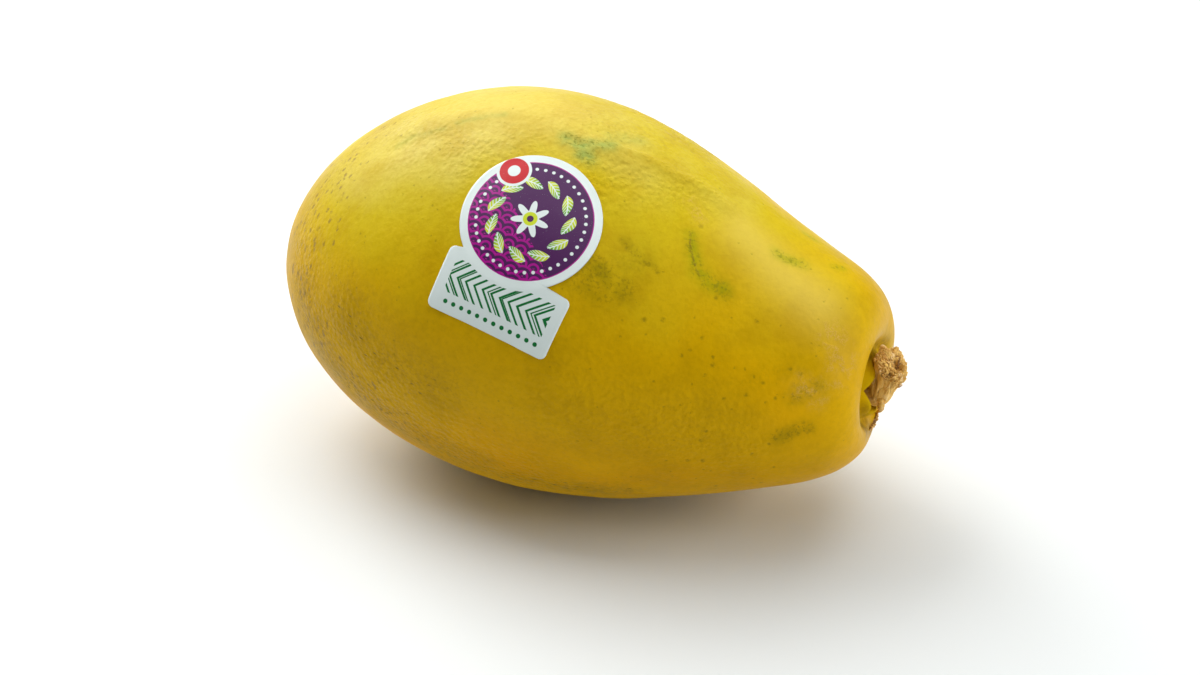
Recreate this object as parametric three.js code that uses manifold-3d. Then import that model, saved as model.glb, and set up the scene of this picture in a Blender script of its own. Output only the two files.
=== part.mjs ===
import * as THREE from 'three';
import { mergeVertices } from 'three/addons/utils/BufferGeometryUtils.js';
import Module from 'manifold-3d';

// A ripe papaya lying on its side, with its dried stem stub and a paper produce label.
// Millimetres, +Z up. +X runs along the fruit from the blossom end to the stem end, and
// the origin is at the bottom centre of the bounding box.

// ---- Fruit: a side profile swept round a gently bent long axis
const LENGTH = 155;
const GIRTH = [98, 102, 91, 96, 84, 45, 76]; // Bezier values of the radius, blossom end first
const AXIS_HEIGHT = [0, -1, 10, -10, -6]; // Bezier values of the long axis' height
const BLOSSOM_EXPONENT = 0.5; // 0.5 closes the end as a round dome
const STEM_EXPONENT = 0.36; // below 0.5 closes the end with a flatter shoulder
const LOBES = 5; // one faint bulge for each carpel
const LOBE_DEPTH = 0.012; // share of the radius
const REST_CUT = 0.35; // the flat spot is this far above the lowest point of the full form

// ---- Stem end: a shallow dish, a hollow within it, and a ring of five knobs round the stem
const HOLLOW_DROP = 2.3; // the hollow's centre is this far below the long axis
const DISH = { depth: 2.8, radius: 14.5, steepness: 4 };
const HOLLOW = { depth: 6, radius: 10, steepness: 6 };
const KNOB_RING = { height: 6.6, valley: 0.7, circle: 6.2, spread: 2.3, turn: 0.63 }; // valley: share left between knobs
const RIM_DIP = { depth: 3, circle: 12, spread: 5, angle: 2.45, sides: 4 }; // one side of the rim lies lower

// ---- Blossom end: a dimple where the flower sat
const DIMPLE = { depth: 1.2, radius: 4.5, steepness: 2 };

// ---- Stem stub: root in the fruit, bent up, flaring to a torn and pitted end
const STEM_ROUTE = [[-6, 0, -1.6], [-1.6, 0, -2.6], [0.9, -0.1, -2.5], [2.2, -0.2, 1.2], [3.9, -0.4, 7.2]];
const STEM_RADII = [1.8, 1.8, 2, 2.9, 4]; // Bezier values, root first
const STEM_RIBS = 7;
const STEM_RIB_DEPTH = 0.07; // share of the radius
const TEAR_SLANT = 2.2; // the torn end drops and rises by this much from side to side
const TEAR_LOWEST = -0.7; // where it is lowest, in radians from +X towards +Y
const TEAR_ROUGHNESS = 0.4;
const PIT_OFFSET = 2; // towards +X
// Torn end, from the rim to the bottom of the pit: share of the radius, height over the rim
const TORN_END = [[0.86, 0.6], [0.6, 1], [0.36, 0.8], [0.2, -0.8]];

// ---- Label: a round sticker with a rectangular tab, following the skin
const LABEL_CENTRE = { u: 0.493, angle: -0.693 }; // place of the disc's centre on the skin
const LABEL_TURN = -0.164; // from the fruit's long axis, in radians
const DISC_RADIUS = 16.8;
const TAB = { left: -14.2, right: 17.8, top: -12.9, bottom: -28.4, corner: 1.6 };
const NOTCH = 0.3; // height over which the disc gives way to the tab
const LABEL_THICKNESS = 0.3;

// ---- Shared by the pieces, and how finely their surfaces are divided
const GAP = 0.3; // clearance between neighbouring pieces
const FRUIT_RINGS = 60;
const FRUIT_SIDES = 50;
const STEM_CROWDING = 1.3; // above 1 brings the rings closer together at the stem end
const STEM_RINGS = 14;
const STEM_SIDES = 35;
const LABEL_COLUMNS = 12;
const DISC_ROWS = 14;
const TAB_ROWS = 5;
const CORNER_ROWS = 3;
const WALK_STEPS = 30;

const wasm = await Module();
wasm.setup();

/** Value at t of the Bezier curve through these control values. */
function bezier(values, t) {
  let row = values;
  while (row.length > 1) {
    const last = row;
    row = last.slice(1).map((value, i) => last[i] + (value - last[i]) * t);
  }
  return row[0];
}

/** Closed surface from a first point, over rings of equal length, to a last point. */
function ringGeometry(first, rings, last) {
  const sides = rings[0].length;
  const positions = [first, ...rings.flat(), last].flatMap((p) => [p.x, p.y, p.z]);
  const end = 1 + rings.length * sides;
  const at = (ring, side) => 1 + ring * sides + (side % sides);
  const faces = [];
  for (let j = 0; j < sides; j++) {
    faces.push(0, at(0, j + 1), at(0, j));
    for (let i = 0; i + 1 < rings.length; i++) {
      faces.push(at(i, j), at(i, j + 1), at(i + 1, j + 1));
      faces.push(at(i, j), at(i + 1, j + 1), at(i + 1, j));
    }
    faces.push(at(rings.length - 1, j), at(rings.length - 1, j + 1), end);
  }
  const geometry = new THREE.BufferGeometry();
  geometry.setAttribute('position', new THREE.Float32BufferAttribute(positions, 3));
  geometry.setIndex(faces);
  return geometry;
}

function toSolid(geometry) {
  const bare = geometry.clone();
  bare.deleteAttribute('normal');
  bare.deleteAttribute('uv');
  const merged = mergeVertices(bare);
  const vertProperties = new Float32Array(merged.attributes.position.array);
  const triVerts = new Uint32Array(merged.index.array);
  return new wasm.Manifold(new wasm.Mesh({ numProp: 3, vertProperties, triVerts }));
}

function toGeometry(solid) {
  const { vertProperties, triVerts } = solid.getMesh();
  const geometry = new THREE.BufferGeometry();
  geometry.setAttribute('position', new THREE.BufferAttribute(vertProperties, 3));
  geometry.setIndex(new THREE.BufferAttribute(triVerts, 1));
  geometry.computeVertexNormals();
  return geometry;
}

/** Depth of a round recess at this distance from its centre. */
function recess({ depth, radius, steepness }, distance) {
  return depth * Math.exp(-((distance / radius) ** steepness));
}

/** Share of a rounded ring's full height at this distance from its centre. */
function ringShare({ circle, spread }, distance) {
  return Math.exp(-(((distance - circle) / spread) ** 2));
}

/** How far the stem end stands out (+) or in (-) at this distance and angle round its hollow. */
function stemEndRelief(distance, angle) {
  const crest = Math.abs(Math.cos((LOBES / 2) * (angle - KNOB_RING.turn)));
  const swell = THREE.MathUtils.lerp(KNOB_RING.valley, 1, crest);
  const knobs = KNOB_RING.height * swell * ringShare(KNOB_RING, distance);
  const side = Math.max(0, Math.cos(angle - RIM_DIP.angle)) ** RIM_DIP.sides;
  const dip = RIM_DIP.depth * side * ringShare(RIM_DIP, distance);
  return knobs - dip - recess(HOLLOW, distance) - recess(DISH, distance);
}

/** Point of the skin: u runs 0 to 1 along the fruit, and the angle from the top towards +Y. */
function skinPoint(u, angle) {
  const profile = u ** BLOSSOM_EXPONENT * (1 - u) ** STEM_EXPONENT * bezier(GIRTH, u);
  const radius = profile * (1 + LOBE_DEPTH * Math.cos(LOBES * angle) * Math.sin(Math.PI * u));
  const stemHalf = u > 0.5;
  const relief = stemHalf ? stemEndRelief(radius, angle) : recess(DIMPLE, radius);
  const drop = stemHalf ? HOLLOW_DROP * Math.exp(-((radius / DISH.radius) ** DISH.steepness)) : 0;
  return new THREE.Vector3(
    LENGTH * (u - 0.5) + relief,
    radius * Math.sin(angle),
    radius * Math.cos(angle) + bezier(AXIS_HEIGHT, u) - drop,
  );
}

/** Body of the fruit, with rings spaced by radius towards both ends and closer at the stem. */
function fruitGeometry() {
  const rings = [];
  for (let i = 1; i < FRUIT_RINGS; i++) {
    const s = i / FRUIT_RINGS;
    const fromBlossom = s ** (1 / BLOSSOM_EXPONENT);
    const fromStem = (1 - s) ** (STEM_CROWDING / STEM_EXPONENT);
    const u = fromBlossom / (fromBlossom + fromStem);
    const angles = Array.from({ length: FRUIT_SIDES }, (_, j) => (-2 * Math.PI * j) / FRUIT_SIDES);
    rings.push(angles.map((angle) => skinPoint(u, angle)));
  }
  return ringGeometry(skinPoint(0, 0), rings, skinPoint(1, 0));
}

/** Ring round the stem's route: t along it, share of the radius there, and rise past it. */
function stemRing(route, t, share, rise, grow) {
  const forward = route.getTangent(t);
  const outer = new THREE.Vector3(0, 1, 0).cross(forward).normalize();
  const across = new THREE.Vector3().crossVectors(forward, outer);
  const centre = route.getPoint(t).addScaledVector(forward, rise);
  centre.addScaledVector(outer, PIT_OFFSET * (1 - share));
  const torn = Math.max(0, 2 * t - 1) ** 2 * share;
  return Array.from({ length: STEM_SIDES }, (_, j) => {
    const turn = (2 * Math.PI * j) / STEM_SIDES;
    const rib = 1 + STEM_RIB_DEPTH * t * Math.cos(STEM_RIBS * turn);
    const radius = share * bezier(STEM_RADII, t) * rib + grow;
    const tear = TEAR_ROUGHNESS * Math.sin(5 * turn) - TEAR_SLANT * Math.cos(turn - TEAR_LOWEST);
    return centre
      .clone()
      .addScaledVector(outer, radius * Math.cos(turn))
      .addScaledVector(across, radius * Math.sin(turn))
      .addScaledVector(forward, torn * tear);
  });
}

/** Stub of the stem about the hollow's mouth; grow widens it all round to cut its socket. */
function stemGeometry(grow = 0) {
  const route = new THREE.CatmullRomCurve3(STEM_ROUTE.map((p) => new THREE.Vector3(...p)));
  const rings = [];
  for (let i = 0; i <= STEM_RINGS; i++) {
    rings.push(stemRing(route, i / STEM_RINGS, 1, i === 0 ? -grow : 0, grow));
  }
  const foot = route.getPoint(0).addScaledVector(route.getTangent(0), -grow);
  if (grow > 0) return ringGeometry(foot, rings, route.getPoint(1));
  for (const [share, rise] of TORN_END) rings.push(stemRing(route, 1, share, rise, 0));
  const pit = new THREE.Vector3();
  rings.at(-1).forEach((point) => pit.addScaledVector(point, 1 / STEM_SIDES));
  return ringGeometry(foot, rings, pit);
}

/** Slopes of the skin along and around the fruit, and its outward normal. */
function skinFrame({ u, angle }) {
  const step = 1e-4;
  const along = skinPoint(u + step, angle).sub(skinPoint(u - step, angle)).divideScalar(2 * step);
  const around = skinPoint(u, angle + step).sub(skinPoint(u, angle - step)).divideScalar(2 * step);
  const normal = new THREE.Vector3().crossVectors(along, around).normalize();
  return { along, around, normal };
}

/** Place on the skin that is reached by walking straight ahead from start. */
function walkOnSkin(start, heading, distance) {
  const first = skinFrame(start);
  const forward = first.along.clone().normalize();
  const left = new THREE.Vector3().crossVectors(first.normal, forward);
  const direction = forward.multiplyScalar(Math.cos(heading)).addScaledVector(left, Math.sin(heading));
  const place = { ...start };
  for (let i = 0; i < WALK_STEPS; i++) {
    const { along, around, normal } = skinFrame(place);
    direction.addScaledVector(normal, -direction.dot(normal)).normalize();
    const mixed = along.dot(around);
    const area = along.lengthSq() * around.lengthSq() - mixed ** 2;
    const ahead = along.dot(direction);
    const aside = around.dot(direction);
    place.u += ((around.lengthSq() * ahead - mixed * aside) / area) * (distance / WALK_STEPS);
    place.angle += ((along.lengthSq() * aside - mixed * ahead) / area) * (distance / WALK_STEPS);
  }
  return place;
}

/** Rows of the label's outline from top to bottom: height and left and right edges. */
function labelRows() {
  const rows = [];
  const discEnd = Math.acos((TAB.top + NOTCH) / DISC_RADIUS);
  for (let i = 1; i <= DISC_ROWS; i++) {
    const turn = (discEnd * i) / DISC_ROWS;
    const half = DISC_RADIUS * Math.sin(turn);
    rows.push({ height: DISC_RADIUS * Math.cos(turn), left: -half, right: half });
  }
  const cornerRow = (edge, inward, turn) => {
    const inset = TAB.corner * (1 - Math.sin(turn));
    const height = edge + inward * TAB.corner * (1 - Math.cos(turn));
    return { height, left: TAB.left + inset, right: TAB.right - inset };
  };
  for (let i = 0; i <= CORNER_ROWS; i++) {
    rows.push(cornerRow(TAB.top, -1, ((Math.PI / 2) * i) / CORNER_ROWS));
  }
  for (let i = 1; i < TAB_ROWS; i++) {
    const height = THREE.MathUtils.lerp(TAB.top - TAB.corner, TAB.bottom + TAB.corner, i / TAB_ROWS);
    rows.push({ height, left: TAB.left, right: TAB.right });
  }
  for (let i = CORNER_ROWS; i >= 0; i--) {
    rows.push(cornerRow(TAB.bottom, 1, ((Math.PI / 2) * i) / CORNER_ROWS));
  }
  return rows;
}

/** Thin sheet of the label, lying just over the skin. */
function labelGeometry() {
  const over = (across, height, lift) => {
    const heading = Math.atan2(height, across) + LABEL_TURN;
    const place = walkOnSkin(LABEL_CENTRE, heading, Math.hypot(across, height));
    return skinPoint(place.u, place.angle).addScaledVector(skinFrame(place).normal, lift);
  };
  const rings = labelRows().map(({ height, left, right }) => {
    const columns = Array.from({ length: LABEL_COLUMNS + 1 }, (_, j) => j / LABEL_COLUMNS);
    const edges = columns.map((share) => THREE.MathUtils.lerp(right, left, share));
    const top = edges.map((across) => over(across, height, GAP + LABEL_THICKNESS));
    const underside = edges.map((across) => over(across, height, GAP));
    return [...top, ...underside.reverse()];
  });
  const middle = GAP + LABEL_THICKNESS / 2;
  const foot = over((TAB.left + TAB.right) / 2, TAB.bottom, middle);
  return ringGeometry(over(0, DISC_RADIUS, middle), rings, foot);
}

/** Named mesh of one piece. */
function piece(name, geometry, material) {
  const mesh = new THREE.Mesh(geometry, new THREE.MeshStandardMaterial(material));
  mesh.name = name;
  return mesh;
}

const mouth = new THREE.Vector3(LENGTH / 2 - DISH.depth, 0, AXIS_HEIGHT.at(-1) - HOLLOW_DROP);
const socket = stemGeometry(GAP).translate(mouth.x, mouth.y, mouth.z);
const fullFruit = fruitGeometry();
fullFruit.computeBoundingBox();
const belowRest = new THREE.BoxGeometry(LENGTH, LENGTH, LENGTH);
belowRest.translate(0, 0, fullFruit.boundingBox.min.z + REST_CUT - LENGTH / 2);
const fruitSolid = toSolid(fullFruit).subtract(toSolid(socket)).subtract(toSolid(belowRest));

const fruit = piece('fruit', toGeometry(fruitSolid), { color: 0xcfa617, roughness: 0.45 });
const stem = piece('stem', stemGeometry(), { color: 0xa07a45, roughness: 0.9 });
stem.position.copy(mouth);
const label = piece('label', labelGeometry(), { color: 0xe6ebe9, roughness: 0.35 });

const papaya = new THREE.Group();
papaya.add(fruit, stem, label);
papaya.updateMatrixWorld(true);
const box = new THREE.Box3().setFromObject(papaya, true);
const centre = box.getCenter(new THREE.Vector3());
papaya.position.set(-centre.x, -centre.y, -box.min.z);

export default papaya;
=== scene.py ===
"""Looks of a ripe papaya lying on its side: its skin, its dried stem stub and its paper label.

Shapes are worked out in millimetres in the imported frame, with +X along the fruit from the blossom
end to the stem end and +Z up, and turned into metres where a mesh is made. Colours are linear.
"""

import math
from types import SimpleNamespace

import bpy
import numpy as np
from mathutils import Matrix, Vector, noise
from mathutils.bvhtree import BVHTree


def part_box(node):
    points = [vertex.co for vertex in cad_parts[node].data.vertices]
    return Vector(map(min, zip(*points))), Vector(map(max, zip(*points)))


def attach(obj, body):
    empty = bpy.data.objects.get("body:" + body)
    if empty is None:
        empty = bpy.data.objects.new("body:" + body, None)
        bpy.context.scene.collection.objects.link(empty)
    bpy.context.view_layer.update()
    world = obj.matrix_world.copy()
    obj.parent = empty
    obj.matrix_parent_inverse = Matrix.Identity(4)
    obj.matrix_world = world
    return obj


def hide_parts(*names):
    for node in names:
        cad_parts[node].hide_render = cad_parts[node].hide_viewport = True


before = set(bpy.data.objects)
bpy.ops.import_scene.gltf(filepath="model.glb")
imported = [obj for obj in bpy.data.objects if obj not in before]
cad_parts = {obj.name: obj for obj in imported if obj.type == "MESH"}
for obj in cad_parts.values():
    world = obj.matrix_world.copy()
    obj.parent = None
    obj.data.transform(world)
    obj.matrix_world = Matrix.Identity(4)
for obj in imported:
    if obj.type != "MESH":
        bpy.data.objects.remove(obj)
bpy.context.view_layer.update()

MM = 0.001

# ---- Camera: the photograph's viewing angle, aimed near the middle of the fruit
AZIMUTH = math.radians(21.69)
ELEVATION = math.radians(31.0)
LENS = 90.0
SENSOR = 36.0
DISTANCE = 735.8
AIM_RIGHT = 3.79
AIM_UP = -9.62
VIEW_WIDTH = 1200
VIEW_HEIGHT = 675

# ---- Light and floor, in metres and watts
LIT_POINT = (0, 0, 0.03)
SOFTBOXES = [  # how far right of and behind the fruit as the camera sees it; height, side, power
    ("softbox_left", -0.44, 0.30, 0.70, 0.62, 4.4),
    ("softbox_left_back", -0.70, 0.70, 0.50, 0.70, 5.0),
    ("softbox_above", 0.02, 0.25, 0.70, 0.90, 3.4),
    ("softbox_front", 0.15, -0.25, 0.85, 0.60, 1.4),
    ("softbox_right", 0.75, -0.20, 0.28, 0.50, 3.3),
    ("backdrop_glow", -0.10, 1.10, 0.55, 1.50, 3.0),
]
WORLD_COLOUR = (0.86, 0.95, 1, 1)
WORLD_STRENGTH = 0.15
FLOOR_COLOUR = (0.79, 0.81, 0.80, 1)
FLOOR_ROUGHNESS = 0.9
FLOOR_REACH = 3.0

# ---- Fruit: the same form as the CAD part's
LENGTH = 155.0
GIRTH = [98, 102, 91, 96, 84, 45, 76]
AXIS_HEIGHT = [0, -1, 10, -10, -6]
BLOSSOM_EXPONENT = 0.5
STEM_EXPONENT = 0.36
LOBES = 5
LOBE_DEPTH = 0.012
REST_CUT = 0.35
HOLLOW_DROP = 2.3
DISH = {"depth": 2.8, "radius": 14.5, "steepness": 4}
HOLLOW = {"depth": 6, "radius": 10, "steepness": 6}
KNOB_RING = {"height": 6.6, "valley": 0.7, "circle": 6.2, "spread": 2.3, "turn": 0.63}
RIM_DIP = {"depth": 3, "circle": 12, "spread": 5, "angle": 2.45, "sides": 4}
DIMPLE = {"depth": 1.2, "radius": 4.5, "steepness": 2}
FRUIT_RINGS = 300
FRUIT_SIDES = 330
STEM_CROWDING = 1.3
BLOSSOM_END_SEEN = (294, 250)  # the dashes of the blossom half run out from the skin at this pixel
DASH_CIRCLE = 40.0  # and keep the width that they have at this distance from the line to the stem
FAR = 99  # distance from an end that stands for the other half of the fruit
TURNING_AWAY = 6  # how sharply the far side's freckles set in past the fruit's outline

# ---- Stem stub: the same form as the CAD part's, more finely divided
STEM_ROUTE = [(-6, 0, -1.6), (-1.6, 0, -2.6), (0.9, -0.1, -2.5), (2.2, -0.2, 1.2), (3.9, -0.4, 7.2)]
STEM_RADII = [1.8, 1.8, 2, 2.9, 4]
STEM_RIBS = 7
STEM_RIB_DEPTH = 0.07
TEAR_SLANT = 2.2
TEAR_LOWEST = -0.7
TEAR_ROUGHNESS = 0.4
TEAR_TEETH = 5
PIT_OFFSET = 2.0
TORN_END = [(0.86, 0.6), (0.6, 1), (0.36, 0.8), (0.2, -0.8)]
STEM_RINGS = 130
PIT_RINGS = 60
STEM_SIDES = 220
STEM_SEED = 7
SLIVERS = 30
SLIVER_SIDES = 7
BARK_EDGE = 5.2  # height over the mouth at which the bark has torn away
BARK_SLANT = 3.2  # it tore lower on the outer side and higher on the fruit's side by this much
TORN_LIP = 0.10
BARK_FADE = 1.4  # height over which the bark gives way to torn wood
BARK_RAGGED = 1.2
WOOD_TWIST = 0.04  # turn of the grain for each millimetre along the stub
FOLD_DEPTH = 0.35
CRUMB_DEPTH = 0.45
CRUMB_DEPTH_ON_END = 0.40
CLUMP_DEPTH = 0.30
SLIT_DEPTH = 0.9
STEM_BEAD = (880.5, 401)
STEM_SLIT = [(899.5, 360), (898, 365), (897, 370)]
SHRED_ON_RIM = [(869, 430), (873, 424), (875.5, 417), (877, 411)]  # along the hollow's far rim
SHRED_FOOT = (876.5, 413)  # the strand that ties it to the stub starts here on the skin
SHRED_TOP = (881, 403)  # and ends here on the stub
SHRED_RINGS = 30
SHRED_SIDES = 18

# ---- Label: the CAD part's outline, as a sheet of real paper thickness
LABEL_CENTRE = (0.493, -0.693)  # place of the disc's centre along and around the skin
LABEL_TURN = -0.164
DISC_RADIUS = 16.8
TAB = {"left": -14.2, "right": 17.8, "top": -12.9, "bottom": -28.4, "corner": 1.6}
NOTCH = 0.3
LABEL_THICKNESS = 0.12
LABEL_LIFT = 0.08
LABEL_CURL = {"corner": 0.35, "corner_reach": 5.5, "rim": 0.08, "rim_reach": 0.9}
LABEL_COLUMNS = 70
DISC_ROWS = 60
TAB_ROWS = 24
CORNER_ROWS = 6
WALK_STEPS = 30
PROBE = 3  # how far over the skin the search for its height starts

# ---- Uneven form of the skin, in millimetres
WAVES = {"size": 14, "height": 0.16}
LEATHER = {"size": 3.2, "height": 0.12, "rise": 0.04}

# ---- Marks on the skin, as pixels of the 1200 x 675 view
FURROWS = [
    [(566, 138), (582, 146), (596, 146), (612, 144)],
    [(592, 157), (604, 153), (616, 150), (632, 157), (643, 160)],
    [(610, 163), (623, 163)],
]
FOLDS = [  # pixels along the fold, height (+) or depth (-) and half width in millimetres
    ((592, 147), (619, 150), (634, 155), (658, 163), (677, 175), (697, 183), (716, 196),
     (727, 206), 0.6, 1.8),
    ((619, 144), (641, 151), (662, 158), -0.25, 0.9), ((622, 178), (664, 196), (690, 210), -0.55, 6.5),
    ((598, 205), (612, 226), -0.4, 5), ((575, 133), (590, 139), (607, 138), 0.3, 1.6),
    ((405, 131), (450, 118), (500, 112), 0.3, 3), ((392, 150), (440, 137), (490, 128), -0.25, 3),
    ((738, 205), (775, 240), (800, 262), -0.35, 6),
]
CORKY_SCAR = [(690, 229), (690, 242), (692, 255), (696, 270), (702, 281)]
SEEN = {  # pixels along each mark, its half width in millimetres, its strength
    "green": [
        ((568, 139), (578, 144), (588, 146), 2.1, 1), ((598, 146), (613, 146), 1.8, 0.8),
        ((582, 154), (590, 159), 2.2, 0.9), ((612, 136), (640, 140), 2, 0.35),
        ((398, 146), (412, 138), (430, 132), (446, 128), 1, 0.35),
        ((458, 123), (480, 118), (505, 115), 0.9, 0.4), ((691, 236), (693, 256), (699, 272), 1.7, 0.85),
        ((699, 274), (709, 282), (722, 288), 2.4, 0.7), ((778, 253), (790, 259), (803, 263), 1.8, 0.75),
        ((834, 267), (842, 268), 1.2, 0.6), ((806, 234), (814, 239), 1.3, 0.5),
    ],
    "olive": [  # rubbed skin that has turned brownish
        ((597, 266), (603, 274), 3, 0.9), ((584, 278), (600, 290), (622, 288), 4.5, 0.6),
        ((600, 270), (640, 262), 5, 0.35), ((625, 241), (642, 259), (653, 267), 1.4, 0.6),
        ((722, 292), (730, 296), 1.6, 0.5), ((779, 437), (795, 432), (806, 428), 2.4, 0.75),
        ((794, 396), (806, 390), (818, 388), 2.8, 0.55), ((740, 384), (770, 372), (800, 372), 4, 0.3),
    ],
    "scuff": [  # dry places under a pale net
        ((832, 336), (838, 350), (846, 362), (838, 374), 3.4, 1),
        ((800, 386), (812, 392), (818, 398), 2.6, 0.8), ((692, 203), (700, 215), 2.2, 0.6),
    ],
    "russet_and_shade": [  # greyish-brown mottling of the blossom half, and painted shade dulling its lower left and the belly
        ((297, 262), (312, 205), (346, 160), (388, 128), 7, 0.45),
        ((304, 300), (334, 366), (384, 412), (470, 462), 9, 1),
        ((480, 468), (560, 486), (625, 490), 4, 0.9), ((345, 316), (378, 358), (432, 390), 9, 0.6),
        # painted shade along the belly
        ((440, 425), (540, 445), (640, 440), (700, 430), 11, 0.2),
    ],
    "blots": [  # roundish brown blots round the blossom end
        ((298, 300), (298, 262), (304, 225), (326, 190), 11, 1),
        ((326, 190), (352, 158), (392, 132), 7, 0.25), ((304, 312), (332, 356), (364, 392), 8, 0.8),
    ],
    "pale_tone_and_painted_sheen": [  # broad pale patches: painted sheen where the view reaches, pale skin tone on the far side
        ((745, 232), (780, 270), (818, 302), 7, 0.9), ((470, 105), (520, 100), (560, 112), 7.5, 0.6),
    ],
    "stain_and_shade": [  # brown stains at the edge of the hollow, and painted shade under the top of its rim
        ((862, 426), (866, 431), (871, 429), 1.8, 1), ((863, 408), (864, 416), (866, 422), 1.6, 0.6),
        # painted shade under the top of the hollow's rim
        ((872, 356), (874, 348), (884, 343), 2, 0.8),
    ],
    "leathery": [  # coarse, bumpy grain
        ((592, 175), (640, 178), (694, 192), 9, 0.6), ((560, 120), (640, 140), 9, 0.5),
        ((420, 130), (480, 150), (520, 140), 9, 0.5),
        ((345, 335), (380, 385), (440, 430), (520, 470), 12, 0.75),
        ((560, 400), (640, 425), (730, 445), 11, 0.5), ((305, 250), (325, 320), 8, 0.5),
    ],
    "orange_tone_and_painted_light": [  # broad, brighter orange patches: painted light on the lower front, orange skin tone on the far side
        ((760, 380), (788, 395), (790, 425), 7, 1), ((470, 440), (520, 452), (600, 465), 7, 0.5),
    ],
}
BEHIND = {  # the same marks where the view doesn't reach: places along and around the skin
    "green": [
        ((0.3, 0.85), (0.37, 0.98), (0.4, 1.1), 2.8, 0.8),
        ((0.54, 1.4), (0.6, 1.32), (0.66, 1.42), 2, 0.8), ((0.76, 0.75), (0.8, 0.84), 1.8, 0.6),
        ((0.84, 1.95), (0.88, 1.85), 2.4, 0.7), ((0.62, 0.62), (0.66, 0.7), 1.4, 0.5),
    ],
    "olive": [
        ((0.44, 2.05), (0.52, 2.15), 4.5, 0.5), ((0.18, 1.6), (0.25, 1.72), 3.5, 0.45),
        ((0.68, 2.6), (0.73, 2.7), 2.2, 0.6),
    ],
    "scuff": [
        ((0.86, 0.95), (0.9, 1.15), (0.88, 1.3), 3.2, 0.9), ((0.5, 1.75), (0.53, 1.9), 2.4, 0.7),
        ((0.44, 3.1), (0.52, 3.16), (0.58, 3.05), 6, 0.7),
    ],
    "russet_and_shade": [
        ((0.03, 0.4), (0.03, 1.6), (0.04, 2.8), (0.04, -2.8), 8, 0.55),
        ((0.1, 2.3), (0.3, 2.5), (0.62, 2.6), 10, 0.6), ((0.06, 1), (0.16, 1.15), 7, 0.5),
        ((0.2, -2.7), (0.5, -2.9), (0.75, -2.8), 9, 0.5),
    ],
    "blots": [
        ((0.02, 0.6), (0.03, 1.8), (0.03, 2.6), 9, 0.9),
        ((0.05, -2.7), (0.14, -2.9), (0.26, -2.8), 8, 0.6),
    ],
    "leathery": [
        ((0.22, 0.55), (0.45, 0.62), (0.62, 0.5), 10, 0.8),
        ((0.15, 2.1), (0.35, 2.3), (0.55, 2.4), 12, 0.7),
    ],
    # orange skin tone where the view doesn't reach
    "orange_tone_and_painted_light": [
        ((0.55, 1.9), (0.66, 1.75), 8, 0.7), ((0.25, 1.3), (0.33, 1.2), 9, 0.6),
        ((0.6, 2.9), (0.75, 3), 8, 0.6),
    ],
    # pale skin tone where the view doesn't reach
    "pale_tone_and_painted_sheen": [
        ((0.7, 0.6), (0.84, 0.85), 8, 0.7), ((0.25, 0.3), (0.4, 0.35), 8, 0.5),
    ],
}
SPOT_SPREAD = 1.25  # the spots fade out over this multiple of their radius
SPOTS = [  # pixel, radius in millimetres
    ((644, 320), 0.55), ((663, 320), 0.5), ((702, 338), 0.4), ((690, 350), 0.35), ((682, 355), 0.4),
    ((713, 357), 0.35), ((713, 365), 0.5), ((705, 375), 0.4), ((654, 381), 0.3), ((735, 368), 0.3),
    ((745, 369), 0.3), ((754, 377), 0.35), ((763, 383), 0.45), ((746, 395), 0.45), ((724, 398), 0.4),
    ((775, 398), 0.4), ((790, 369), 0.45), ((800, 374), 0.5), ((757, 321), 0.45), ((706, 431), 0.4),
    ((701, 440), 0.5), ((688, 460), 0.45), ((703, 460), 0.5), ((666, 460), 0.35), ((752, 454), 0.45),
    ((774, 467), 0.35), ((753, 478), 0.35), ((761, 482), 0.35), ((716, 486), 0.4), ((769, 444), 0.35),
    ((701, 226), 0.5), ((658, 272), 0.45), ((627, 248), 0.45), ((657, 273), 0.35), ((716, 298), 0.5),
]


# ==== Form of the skin

def unit(vectors):
    return vectors / np.linalg.norm(vectors, axis=-1, keepdims=True)


def dots(first, second):
    return np.sum(first * second, axis=-1)


def hill(distance, width, steepness=2):
    """Share that falls from 1 at no distance, through a third at this width, to 0."""
    return np.exp(-((distance / width) ** steepness))


def bezier(values, t):
    """Value at t of the Bezier curve through these control values."""
    row = [np.full_like(t, value, dtype=float) for value in values]
    while len(row) > 1:
        row = [a + (b - a) * t for a, b in zip(row, row[1:])]
    return row[0]


def recess(shape, distance):
    """Depth of a round recess at this distance from its centre."""
    return shape["depth"] * hill(distance, shape["radius"], shape["steepness"])


def ring_share(shape, distance):
    """Share of a rounded ring's full height at this distance from its centre."""
    return hill(distance - shape["circle"], shape["spread"])


def stem_end_relief(distance, angle):
    """How far the stem end stands out (+) or in (-) round its hollow."""
    crest = abs(np.cos(LOBES / 2 * (angle - KNOB_RING["turn"])))
    swell = KNOB_RING["valley"] + (1 - KNOB_RING["valley"]) * crest
    knobs = KNOB_RING["height"] * swell * ring_share(KNOB_RING, distance)
    side = np.maximum(0, np.cos(angle - RIM_DIP["angle"])) ** RIM_DIP["sides"]
    dip = RIM_DIP["depth"] * side * ring_share(RIM_DIP, distance)
    return knobs - dip - recess(HOLLOW, distance) - recess(DISH, distance)


def skin_radius(u, angle):
    """Distance of the skin from the long axis."""
    profile = u**BLOSSOM_EXPONENT * (1 - u) ** STEM_EXPONENT * bezier(GIRTH, u)
    return profile * (1 + LOBE_DEPTH * np.cos(LOBES * angle) * np.sin(math.pi * u))


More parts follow.
